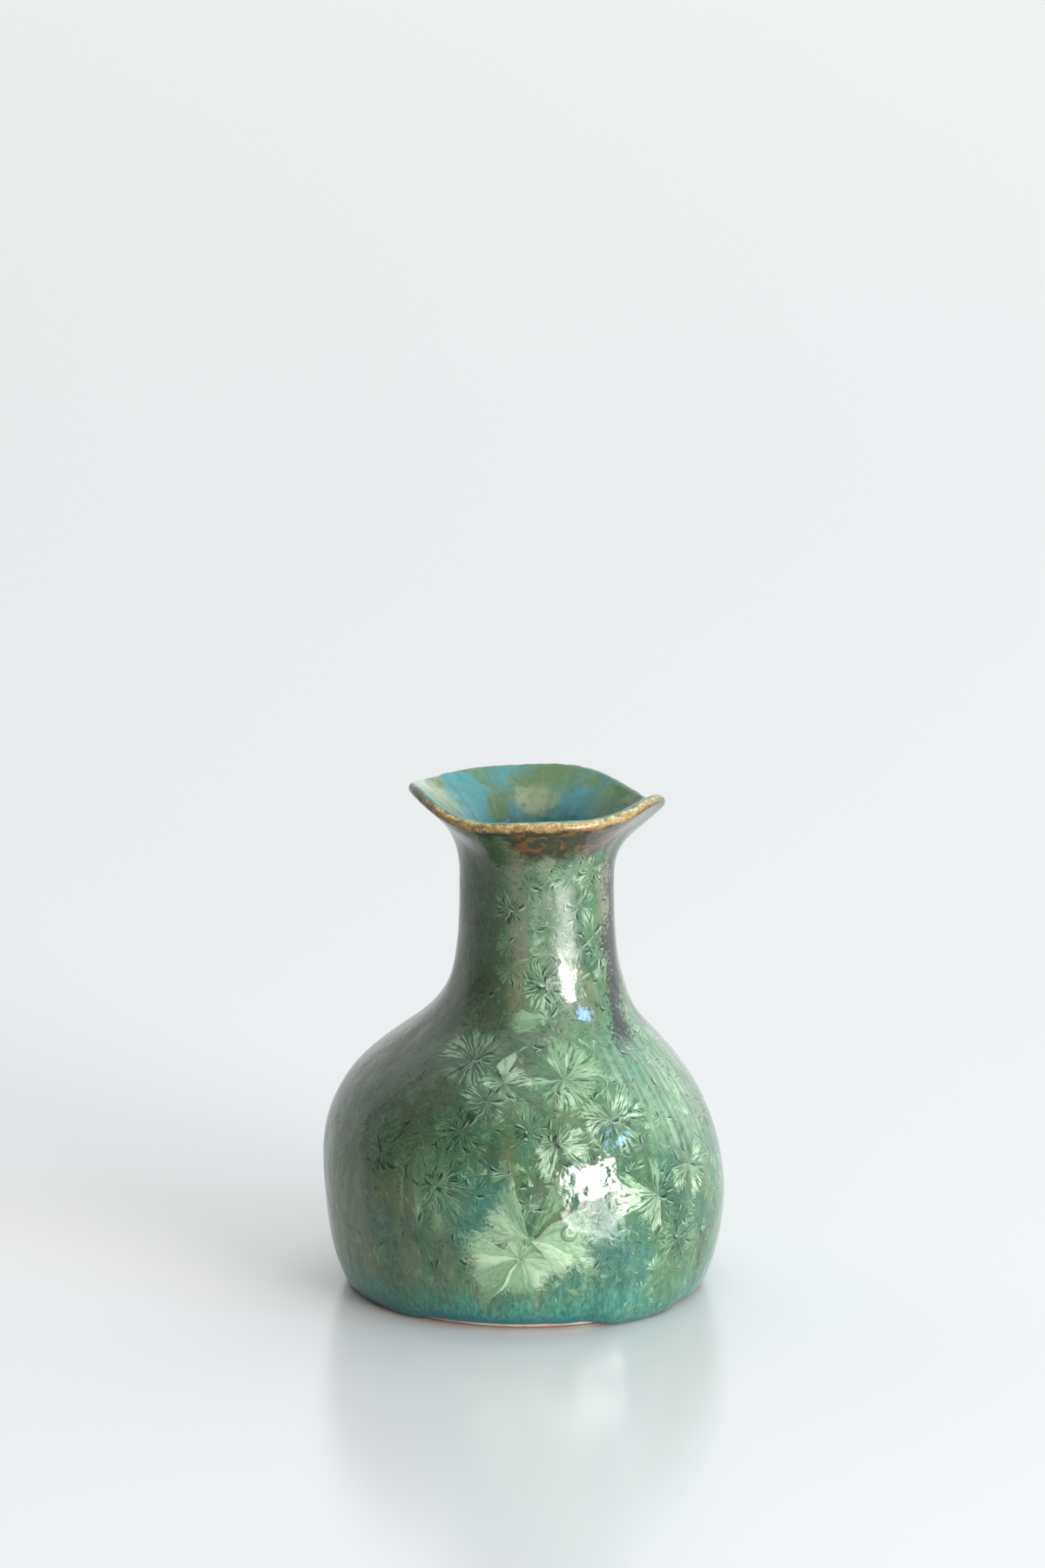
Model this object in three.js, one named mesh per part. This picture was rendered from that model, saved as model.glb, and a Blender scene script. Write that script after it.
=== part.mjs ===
import * as THREE from 'three';

// A glazed stoneware bud vase: a squat belly, a narrow neck and a flared, waving lip.
// Millimetres, +Z up. The origin is the middle of the foot, on the surface that the vase stands on.
// Clay sections carry nested coats of glaze, and every wall is measured inwards from the glazed outside.

// Heights of the outside, each measured from the one below it.
const bellyHeight = 21.8; // ground to the widest line
const shoulderRise = 32.3; // widest line to the middle of the shoulder slope
const neckRise = 32.8; // shoulder to the narrowest line of the neck
const flareRise = 15.6; // narrowest line to the lip

// Radii of the outside at those heights.
const footRadius = 35.7;
const bellyRadius = 41.9;
const shoulderRadius = 26;
const neckRadius = 16.1;
const lipRadius = 26.1;

// Slope of the outline above level, in degrees, where it isn't upright.
const footSlope = 20;
const shoulderSlope = 40;
const lipSlope = 43;

// How far each stretch holds its direction at its lower and upper end, as a share of its own chord.
const heelHold = [0.18, 0.44];
const bellyHold = [0.46, 0.35];
const collarHold = [0.31, 0.57];
const flareHold = [0.45, 0.45];

// Whole wall, clay and both coats, and the floor.
const bellyWall = 5;
const neckWall = 3.4;
const lipWall = 2.4;
const floorThickness = 4.5;
const insideCorner = 7; // radius where the lining turns from the floor up the wall

// Coats of glaze and the gaps between solids that touch on the real vase.
const glazeThickness = 0.5;
const coatGap = 0.2;
const seamGap = 0.3;
const bareHeel = 1.1; // clay left bare between the ground and the glaze
const heelRounding = 0.9; // how far the flat of the foot stops short of the heel

// Seams between the clay sections, and the band of glaze that wraps the lip.
const waistSeamRise = 20; // above the widest line
const collarSeamRise = 10; // above the middle of the shoulder
const rimBand = 2.6; // measured down both sides of the lip

// A run of pooled glaze on the heel.
const runTurn = -52; // degrees from +X round to the middle of the run
const runHalfSpan = 24;
const runHeight = 3.8;
const runRise = 2.2; // half its height
const runDepth = 0.5; // half its thickness
const runGap = 0.35; // level gap to the sloping coat behind it

// Hand forming: the belly drifts back a little, then the neck leans towards +X.
const bellyDrift = -1.4;
const neckLean = 3.7;
const leanBlend = 11.5; // half the height over which each drift builds up
const waveReach = 22; // how far below the lip its wave dies away
const lipWaves = [
  { lobes: 1, rise: 1.1, turn: -174 },
  { lobes: 2, rise: 0.75, turn: -66 },
  { lobes: 3, rise: 1.3, turn: -113 },
  { lobes: 4, rise: 0.45, turn: -44 },
  { lobes: 5, rise: 0.6, turn: -83 },
];

// Fineness of the solids.
const sides = 36;
const rowStep = 6;
const capSteps = 4;
const cornerSteps = 4;

const shoulderHeight = bellyHeight + shoulderRise;
const neckHeight = shoulderHeight + neckRise;
const lipHeight = neckHeight + flareRise;

// ---- the outline of the outside ----

function heading(slopeDegrees) {
  const slope = THREE.MathUtils.degToRad(slopeDegrees);
  return new THREE.Vector2(Math.cos(slope), Math.sin(slope));
}

// One smooth stretch between two points, leaving along startHeading and arriving along endHeading.
function stretch(start, startHeading, end, endHeading, hold) {
  const chord = start.distanceTo(end);
  const leave = start.clone().addScaledVector(startHeading, hold[0] * chord);
  const arrive = end.clone().addScaledVector(endHeading, -hold[1] * chord);
  return new THREE.CubicBezierCurve(start, leave, arrive, end);
}

const upright = new THREE.Vector2(0, 1);
const overShoulder = heading(180 - shoulderSlope);
const footPoint = new THREE.Vector2(footRadius, 0);
const bellyPoint = new THREE.Vector2(bellyRadius, bellyHeight);
const shoulderPoint = new THREE.Vector2(shoulderRadius, shoulderHeight);
const neckPoint = new THREE.Vector2(neckRadius, neckHeight);
const lipPoint = new THREE.Vector2(lipRadius, lipHeight);

const outline = new THREE.CurvePath();
outline.add(stretch(footPoint, heading(footSlope), bellyPoint, upright, heelHold));
outline.add(stretch(bellyPoint, upright, shoulderPoint, overShoulder, bellyHold));
outline.add(stretch(shoulderPoint, overShoulder, neckPoint, upright, collarHold));
outline.add(stretch(neckPoint, upright, lipPoint, heading(lipSlope), flareHold));
const outlineLength = outline.getLength();

// ---- surfaces inside the wall ----

// Whole wall thickness: even round the belly, thinner up the neck and thinnest at the lip.
function wallAt(height) {
  const { lerp, smoothstep } = THREE.MathUtils;
  const body = lerp(bellyWall, neckWall, smoothstep(height, bellyHeight, neckHeight));
  return lerp(body, lipWall, smoothstep(height, neckHeight, lipHeight));
}

// Depths below the outside of each surface, for a station's whole wall.
const glazeFace = () => 0;
const glazeBack = () => glazeThickness;
const clayFace = () => glazeThickness + coatGap;
const clayBack = (wall) => wall - glazeThickness - coatGap;
const liningBack = (wall) => wall - glazeThickness;
const liningFace = (wall) => wall;

// The point of one surface opposite a station, which is a share of the outline's length.
function surfacePoint(station, depth) {
  const outside = outline.getPoint(station);
  const along = outline.getTangent(station);
  const inward = new THREE.Vector2(-along.y, along.x);
  return outside.addScaledVector(inward, depth(wallAt(outside.y)));
}

// The station whose point on a surface has this height.
function stationAt(height, depth) {
  let low = 0;
  let high = 1;
  while (high - low > 1e-9) {
    const middle = (low + high) / 2;
    if (surfacePoint(middle, depth).y < height) low = middle;
    else high = middle;
  }
  return low;
}

// Where each section and coat starts and stops.
const halfSeam = seamGap / 2 / outlineLength;
const bandShare = rimBand / outlineLength;
const seamShare = seamGap / outlineLength;
const glazeStart = stationAt(bareHeel, glazeFace);
const slabTop = stationAt(floorThickness, clayFace);
const wallFootOutside = stationAt(floorThickness + seamGap, clayFace);
const wallFootInside = stationAt(floorThickness + seamGap, clayBack);
const waistSeam = stationAt(bellyHeight + waistSeamRise, glazeFace);
const collarSeam = stationAt(shoulderHeight + collarSeamRise, glazeFace);
const flareSeam = stationAt(neckHeight, glazeFace);
const bandStart = 1 - bandShare;
const coatStop = bandStart - seamShare;
const liningFloor = floorThickness + coatGap + glazeThickness;
const liningWallStart = stationAt(liningFloor + insideCorner, liningFace);

// Rows shared by every coat and section, so that nested solids keep their gaps where the wall curves.
const marks = [
  0, glazeStart, slabTop, wallFootOutside, wallFootInside, liningWallStart,
  waistSeam - halfSeam, waistSeam + halfSeam,
  collarSeam - halfSeam, collarSeam + halfSeam,
  flareSeam - halfSeam, flareSeam + halfSeam,
  coatStop, bandStart, 1,
].sort((a, b) => a - b);

const stations = marks.slice(1).flatMap((mark, i) => {
  const span = mark - marks[i];
  const steps = Math.max(1, Math.ceil((span * outlineLength) / rowStep));
  return Array.from({ length: steps }, (_, step) => marks[i] + (span * step) / steps);
}).concat(1);

// Points of one surface from one station to another, upwards or downwards.
function surface(depth, from, to) {
  const low = Math.min(from, to);
  const high = Math.max(from, to);
  const between = stations.filter((station) => station > low + 1e-6 && station < high - 1e-6);
  const line = [low, ...between, high].map((station) => surfacePoint(station, depth));
  return from < to ? line : line.reverse();
}

// The rounded end of the lip, from the outer side over the top to the inner side.
function lipCap(depth) {
  const along = heading(lipSlope);
  const inward = new THREE.Vector2(-along.y, along.x);
  const radius = lipWall / 2 - depth(lipWall);
  const centre = lipPoint.clone().addScaledVector(inward, lipWall / 2);
  const over = Array.from({ length: capSteps - 1 }, (_, i) => {
    const turn = (Math.PI * (i + 1)) / capSteps;
    const point = centre.clone().addScaledVector(inward, -radius * Math.cos(turn));
    return point.addScaledVector(along, radius * Math.sin(turn));
  });
  return over;
}

// The lining's inside corner, from its wall down to the floor; outset is its distance behind the face.
function floorCorner(outset) {
  const radius = insideCorner + outset;
  const start = surfacePoint(liningWallStart, liningFace);
  return Array.from({ length: cornerSteps }, (_, i) => {
    const turn = (Math.PI / 2) * ((i + 1) / cornerSteps);
    const across = start.x - insideCorner + radius * Math.cos(turn);
    return new THREE.Vector2(across, start.y - radius * Math.sin(turn));
  });
}

// ---- hand forming ----

const lipLift = (around) => lipWaves.reduce(
  (sum, { lobes, rise, turn }) =>
    sum + rise * Math.cos(lobes * around - THREE.MathUtils.degToRad(turn)),
  0,
);

function leanAt(height) {
  const { smoothstep } = THREE.MathUtils;
  const overBelly = smoothstep(height, bellyHeight + 5 - leanBlend, bellyHeight + 5 + leanBlend);
  const upNeck = smoothstep(height, shoulderHeight + 1 - leanBlend, shoulderHeight + 1 + leanBlend);
  return bellyDrift * overBelly + neckLean * upNeck;
}

// Every solid goes through the same bend, so what is nested or stacked stays so.
function handForm(geometry) {
  const places = geometry.getAttribute('position');
  for (let i = 0; i < places.count; i++) {
    const place = new THREE.Vector3().fromBufferAttribute(places, i);
    const waving = THREE.MathUtils.smoothstep(place.z, lipHeight - waveReach, lipHeight);
    const around = Math.atan2(place.y, place.x);
    places.setXYZ(
      i,
      place.x + leanAt(place.z),
      place.y,
      place.z + waving * lipLift(around),
    );
  }
  geometry.computeVertexNormals();
  return geometry;
}

// ---- the pieces ----

const vase = new THREE.Group();

function addPiece(name, geometry, finish) {
  const piece = new THREE.Mesh(handForm(geometry), new THREE.MeshStandardMaterial(finish));
  piece.name = name;
  vase.add(piece);
}

function turned(profile) {
  return new THREE.LatheGeometry(profile, sides).rotateX(Math.PI / 2);
}

function closed(line) {
  return [...line, line[0].clone()];
}

const bareClay = { color: '#c7a48d', roughness: 0.85, metalness: 0 };
const crystalGlaze = { color: '#5c8768', roughness: 0.15, metalness: 0 };
const liningGlaze = { color: '#4d8d85', roughness: 0.12, metalness: 0 };
const goldenGlaze = { color: '#7d6431', roughness: 0.2, metalness: 0 };

// Flat slab under the whole vase, with a rounded heel.
addPiece('base_slab', turned([
  new THREE.Vector2(0, 0),
  new THREE.Vector2(footRadius - heelRounding - clayFace(), 0),
  ...surface(clayFace, 0, slabTop),
  new THREE.Vector2(0, floorThickness),
]), bareClay);

// Wall sections, from the slab up, each a ring of clay luted to the next.
addPiece('belly_wall', turned(closed([
  ...surface(clayFace, wallFootOutside, waistSeam - halfSeam),
  ...surface(clayBack, waistSeam - halfSeam, wallFootInside),
])), bareClay);

const plainRings = {
  shoulder_wall: [waistSeam + halfSeam, collarSeam - halfSeam],
  neck_wall: [collarSeam + halfSeam, flareSeam - halfSeam],
};
for (const [name, [from, to]] of Object.entries(plainRings)) {
  const ring = closed([...surface(clayFace, from, to), ...surface(clayBack, to, from)]);
  addPiece(name, turned(ring), bareClay);
}

addPiece('flared_rim', turned(closed([
  ...surface(clayFace, flareSeam + halfSeam, 1),
  ...lipCap(clayFace),
  ...surface(clayBack, 1, flareSeam + halfSeam),
])), bareClay);

// Crystalline coat over the whole outside, from the bare heel to the band round the lip.
addPiece('outer_glaze', turned(closed([
  ...surface(glazeFace, glazeStart, coatStop),
  ...surface(glazeBack, coatStop, glazeStart),
])), crystalGlaze);

// Lining that covers the floor and the inside of the wall.
addPiece('inner_glaze', turned([
  new THREE.Vector2(0, liningFloor - glazeThickness),
  ...floorCorner(glazeThickness).reverse(),
  ...surface(liningBack, liningWallStart, coatStop),
  ...surface(liningFace, coatStop, liningWallStart),
  ...floorCorner(0),
  new THREE.Vector2(0, liningFloor),
]), liningGlaze);

// Golden band wrapped over the lip.
addPiece('rim_glaze', turned(closed([
  ...surface(glazeFace, bandStart, 1),
  ...lipCap(glazeFace),
  ...surface(liningFace, 1, bandStart),
  ...surface(liningBack, bandStart, 1),
  ...lipCap(glazeBack).reverse(),
  ...surface(glazeBack, 1, bandStart),
])), goldenGlaze);

// Run of pooled glaze on the heel: a ball drawn out along the foot, tapering to both ends and lying
// against the outside at every height.
function pooledRun() {
  const run = new THREE.SphereGeometry(1, 16, 10);
  const places = run.getAttribute('position');
  for (let i = 0; i < places.count; i++) {
    const place = new THREE.Vector3().fromBufferAttribute(places, i);
    const around = THREE.MathUtils.degToRad(runTurn + runHalfSpan * place.y);
    const height = runHeight + runRise * place.z;
    const outside = surfacePoint(stationAt(height, glazeFace), glazeFace).x;
    const across = outside + runGap + runDepth * (1 + place.x);
    places.setXYZ(i, across * Math.cos(around), across * Math.sin(around), height);
  }
  return run;
}
addPiece('foot_glaze_run', pooledRun(), crystalGlaze);

export default vase;
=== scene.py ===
import math

import bpy
import numpy as np
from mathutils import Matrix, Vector


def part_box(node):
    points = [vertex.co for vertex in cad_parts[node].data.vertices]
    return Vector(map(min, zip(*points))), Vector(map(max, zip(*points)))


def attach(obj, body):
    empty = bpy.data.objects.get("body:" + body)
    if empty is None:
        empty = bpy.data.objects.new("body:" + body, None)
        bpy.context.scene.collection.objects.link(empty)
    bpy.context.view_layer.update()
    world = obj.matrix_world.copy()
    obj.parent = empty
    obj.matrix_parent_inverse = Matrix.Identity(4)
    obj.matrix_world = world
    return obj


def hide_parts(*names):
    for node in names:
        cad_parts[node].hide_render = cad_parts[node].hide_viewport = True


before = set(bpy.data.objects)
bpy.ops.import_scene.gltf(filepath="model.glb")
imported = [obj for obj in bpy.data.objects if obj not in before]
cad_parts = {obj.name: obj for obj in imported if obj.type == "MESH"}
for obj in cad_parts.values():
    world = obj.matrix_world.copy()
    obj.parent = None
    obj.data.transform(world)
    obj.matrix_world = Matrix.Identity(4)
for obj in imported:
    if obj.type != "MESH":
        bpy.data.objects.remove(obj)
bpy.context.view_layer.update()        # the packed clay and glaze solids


class Wire:    # an output socket that can stand in a sum
    def __init__(self, bench, socket):
        self.bench = bench
        self.socket = socket

    def maths(self, operation, *others):
        return self.bench.maths(operation, self, *others)

    def __add__(self, other):
        return self.maths("ADD", other)

    def __sub__(self, other):
        return self.maths("SUBTRACT", other)

    def __mul__(self, other):
        return self.maths("MULTIPLY", other)

    def __truediv__(self, other):
        return self.maths("DIVIDE", other)

    def __lt__(self, other):
        return self.maths("LESS_THAN", other)

    def __gt__(self, other):
        return self.maths("GREATER_THAN", other)

    def __radd__(self, other):
        return self.bench.maths("ADD", other, self)

    def __rsub__(self, other):
        return self.bench.maths("SUBTRACT", other, self)

    def __rmul__(self, other):
        return self.bench.maths("MULTIPLY", other, self)

    def __rtruediv__(self, other):
        return self.bench.maths("DIVIDE", other, self)

    def __neg__(self):
        return self.bench.maths("MULTIPLY", self, -1)

    def vector(self, operation, *others):
        return self.bench.vector(operation, self, *others)

    def beside(self, name):    # another output of the same node
        return Wire(self.bench, self.socket.node.outputs[name])


class Bench:    # a node tree while it is being wired
    def __init__(self, tree):
        self.tree = tree
        tree.nodes.clear()

    def add(self, kind, settings=None, sockets=None, out=0):
        node = self.tree.nodes.new(kind)
        for name, value in (settings or {}).items():
            setattr(node, name, value)
        for key, value in (sockets or {}).items():
            if isinstance(value, Wire):
                self.tree.links.new(value.socket, node.inputs[key])
            else:
                node.inputs[key].default_value = value
        return Wire(self, node.outputs[out]) if len(node.outputs) else node

    def maths(self, operation, *values):
        return self.add("ShaderNodeMath", {"operation": operation}, dict(enumerate(values)))

    def vector(self, operation, *values):
        out = "Value" if operation in ("DOT_PRODUCT", "LENGTH", "DISTANCE") else "Vector"
        sockets = dict(enumerate(values))
        if operation == "SCALE":
            sockets = {0: values[0], "Scale": values[1]}
        return self.add("ShaderNodeVectorMath", {"operation": operation}, sockets, out)

    def rise(self, value, low, high):    # 0 to 1, eased, as value goes from low to high
        return self.add("ShaderNodeMapRange", {"interpolation_type": "SMOOTHSTEP"},
                        {0: value, 1: low, 2: high, 3: 0.0, 4: 1.0})

    def noise(self, place, size, detail=2.0):    # lumps of about that size, 0.5 on average
        return self.add("ShaderNodeTexNoise", None,
                        {"Vector": place, "Scale": 1 / size, "Detail": detail})

    def cells(self, place, spacing):    # a scatter of points about that far apart
        return self.add("ShaderNodeTexVoronoi", {"feature": "F1"},
                        {"Vector": place, "Scale": 1 / spacing, "Randomness": 1.0})

    def pack(self, x, y, z):
        return self.add("ShaderNodeCombineXYZ", None, {0: x, 1: y, 2: z})

    def parts(self, place):
        x = self.add("ShaderNodeSeparateXYZ", None, {0: place})
        return x, x.beside("Y"), x.beside("Z")

    def blend(self, share, first, second):    # of two colours
        return self.add("ShaderNodeMix", {"data_type": "RGBA"}, {0: share, 6: first, 7: second}, 2)

    def pick(self, share, first, second):    # the same for vectors
        return self.add("ShaderNodeMix", {"data_type": "VECTOR"}, {0: share, 4: first, 5: second}, 1)


def tint(code):    # a screen colour as the linear one that shaders read
    shares = [int(code[i:i + 2], 16) / 255 for i in (1, 3, 5)]
    linear = [s / 12.92 if s <= 0.04045 else ((s + 0.055) / 1.055) ** 2.4 for s in shares]
    return (*linear, 1.0)


# The form as the clay and glaze solids have it, in millimetres and degrees. A hold says how far
# each end of a curve keeps its own slope. The lip's waves: how many go round, then rise and turn.
form = {
    "bellyHeight": 21.8, "shoulderRise": 32.3, "neckRise": 32.8, "flareRise": 15.6,
    "footRadius": 35.7, "bellyRadius": 41.9, "shoulderRadius": 26.0, "neckRadius": 16.1,
    "lipRadius": 26.1,
    "footSlope": 20, "shoulderSlope": 40, "lipSlope": 43,
    "heelHold": (0.18, 0.44), "bellyHold": (0.46, 0.35), "collarHold": (0.31, 0.57),
    "flareHold": (0.45, 0.45),
    "bellyWall": 5.0, "neckWall": 3.4, "lipWall": 2.4, "floorThickness": 4.5, "insideCorner": 7.0,
    "glaze": 0.5, "coatGap": 0.2, "bareHeel": 1.1, "heelRounding": 0.9, "rimBand": 2.6,
    "bellyDrift": -1.4, "bellyDriftAbove": 5, "neckLean": 3.7, "neckLeanAbove": 1, "leanBlend": 11.5,
    "waveReach": 22.0,
    "waves": {1: (1.1, -174), 2: (0.75, -66), 3: (1.3, -113), 4: (0.45, -44), 5: (0.6, -83)},
}
shoulderHeight = form["bellyHeight"] + form["shoulderRise"]
neckHeight = shoulderHeight + form["neckRise"]
lipHeight = neckHeight + form["flareRise"]
driftHeight = form["bellyHeight"] + form["bellyDriftAbove"]    # middles of the two sideways bends
leanHeight = shoulderHeight + form["neckLeanAbove"]

# The frame's belly says how long this form's millimetre is.
coatLow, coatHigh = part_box("outer_glaze")
millimetre = (coatHigh.y - coatLow.y) / 2 / form["bellyRadius"]


stretchPoints = 400


def heading(degrees):
    return np.array([math.cos(math.radians(degrees)), math.sin(math.radians(degrees))])


def stretch(start, leave, end, arrive, hold):    # a curve between two points, by its slopes there
    start, end = np.array(start), np.array(end)
    chord = np.linalg.norm(end - start)
    near, far = start + leave * hold[0] * chord, end - arrive * hold[1] * chord
    t = np.linspace(0, 1, stretchPoints)[:, None]
    return ((1 - t) ** 3 * start + 3 * t * (1 - t) ** 2 * near
            + 3 * t ** 2 * (1 - t) * far + t ** 3 * end)


def drawOutline():    # points of the glazed outside from foot to lip, and how far along each one is
    upright, overShoulder = heading(90), heading(180 - form["shoulderSlope"])
    foot = (form["footRadius"], 0)
    belly = (form["bellyRadius"], form["bellyHeight"])
    shoulder = (form["shoulderRadius"], shoulderHeight)
    neck = (form["neckRadius"], neckHeight)
    lip = (form["lipRadius"], lipHeight)
    line = np.concatenate([
        stretch(foot, heading(form["footSlope"]), belly, upright, form["heelHold"]),
        stretch(belly, upright, shoulder, overShoulder, form["bellyHold"])[1:],
        stretch(shoulder, overShoulder, neck, upright, form["collarHold"])[1:],
        stretch(neck, upright, lip, heading(form["lipSlope"]), form["flareHold"])[1:],
    ])
    steps = np.linalg.norm(np.diff(line, axis=0), axis=1)
    return line, np.concatenate([[0], np.cumsum(steps)])


outline, outlineAlong = drawOutline()
lipAlong = outlineAlong[-1]
slopes = np.gradient(outline, axis=0)
inwards = np.stack([-slopes[:, 1], slopes[:, 0]], 1) / np.linalg.norm(slopes, axis=1)[:, None]


def outside(along):
    return np.array([np.interp(along, outlineAlong, outline[:, i]) for i in (0, 1)])


def alongAt(height):
    return float(np.interp(height, outline[:, 1], outlineAlong))


def eased(value, low, high):
    t = min(max((value - low) / (high - low), 0), 1)
    return t * t * (3 - 2 * t)


def wallAt(height):
    body = form["bellyWall"] + (form["neckWall"] - form["bellyWall"]) * eased(
        height, form["bellyHeight"], neckHeight)
    return body + (form["lipWall"] - body) * eased(height, neckHeight, lipHeight)


def surfacePoint(along, depth):    # depth gives millimetres inwards, told how thick the wall is
    spot = outside(along)
    inward = np.array([np.interp(along, outlineAlong, inwards[:, i]) for i in (0, 1)])
    return spot + inward * depth(wallAt(spot[1]))


def leanAt(height):
    blend = form["leanBlend"]
    return (form["bellyDrift"] * eased(height, driftHeight - blend, driftHeight + blend)
            + form["neckLean"] * eased(height, leanHeight - blend, leanHeight + blend))


def onOutside(turn, height):    # turn in degrees from the viewer's side, rightwards
    radius = outside(alongAt(height))[0]
    angle = math.radians(turn)
    return Vector((radius * math.sin(angle) + leanAt(height), -radius * math.cos(angle), height))


# A profile is rows of radius, height, millimetres outside the lip (less than 0 inside it), and
# 1 where it shows, 0 where it is hidden. These are depths of the coats' and the clay's faces.
halfCap = math.pi * form["lipWall"] / 4
glazeFace = lambda wall: 0.0
glazeBack = lambda wall: form["glaze"]
clayFace = lambda wall: form["glaze"] + form["coatGap"]
liningBack = lambda wall: wall - form["glaze"]
liningFace = lambda wall: wall


def faceRows(start, end, depth, step, shown=1.0, inside=False):
    count = max(2, math.ceil(abs(end - start) / step) + 1)
    side = -1 if inside else 1
    return [(*surfacePoint(s, depth), side * (lipAlong - s + halfCap), shown)
            for s in np.linspace(start, end, count)]


def capRows(depth, count, shown=1.0):    # over the lip from the outer side to the inner
    along = heading(form["lipSlope"])
    inward = np.array([-along[1], along[0]])
    radius = form["lipWall"] / 2 - depth
    centre = outline[-1] + inward * form["lipWall"] / 2
    rows = []
    for turn in np.linspace(0, math.pi, count + 2)[1:-1]:
        spot = centre - inward * radius * math.cos(turn) + along * radius * math.sin(turn)
        rows.append((*spot, halfCap * math.cos(turn), shown))
    return rows


def edgeRows(along, count, depth=glazeFace):    # rolled lower edge of a coat, back to face
    rows = []
    half = form["glaze"] / 2
    spot = surfacePoint(along, depth)
    inward = surfacePoint(along, lambda wall: depth(wall) + 1) - spot
    upward = np.array([inward[1], -inward[0]])
    for turn in np.linspace(0, math.pi, count + 2)[1:-1]:
        place = spot + inward * half * (1 + math.cos(turn)) - upward * half * math.sin(turn)
        rows.append((*place, lipAlong - along + halfCap, 1.0))
    return rows


# Marks of the hand and the kiln: heights, sizes and reaches in millimetres, turns and spans in degrees.
handwork = {
    "Columns": 420, "Millimetre": millimetre,
    "Belly Drift": form["bellyDrift"], "Neck Lean": form["neckLean"], "Lean Blend": form["leanBlend"],
    "Wave Reach": form["waveReach"],
    "Lump Height": 0.28, "Lump Size": 24.0,
    "Ripple Height": 0.06, "Ripple Size": 6.5,
    "Ragged Height": 0.34, "Ragged Size": 2.6, "Ragged Reach": 2.8,
    "Run Height": 0.9, "Run Turn": 38.0, "Run Span": 21.0,
    "Ridge Height": 0.45, "Ridge Turn": -46.0, "Ridge Span": 11.0,
    "Blister Height": 0.3, "Blister Turn": 12.6, "Blister Rise": 21.8, "Blister Reach": 1.7,
    "Edge Wave": 0.4,
    "Seed": 4.0,
}


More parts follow.
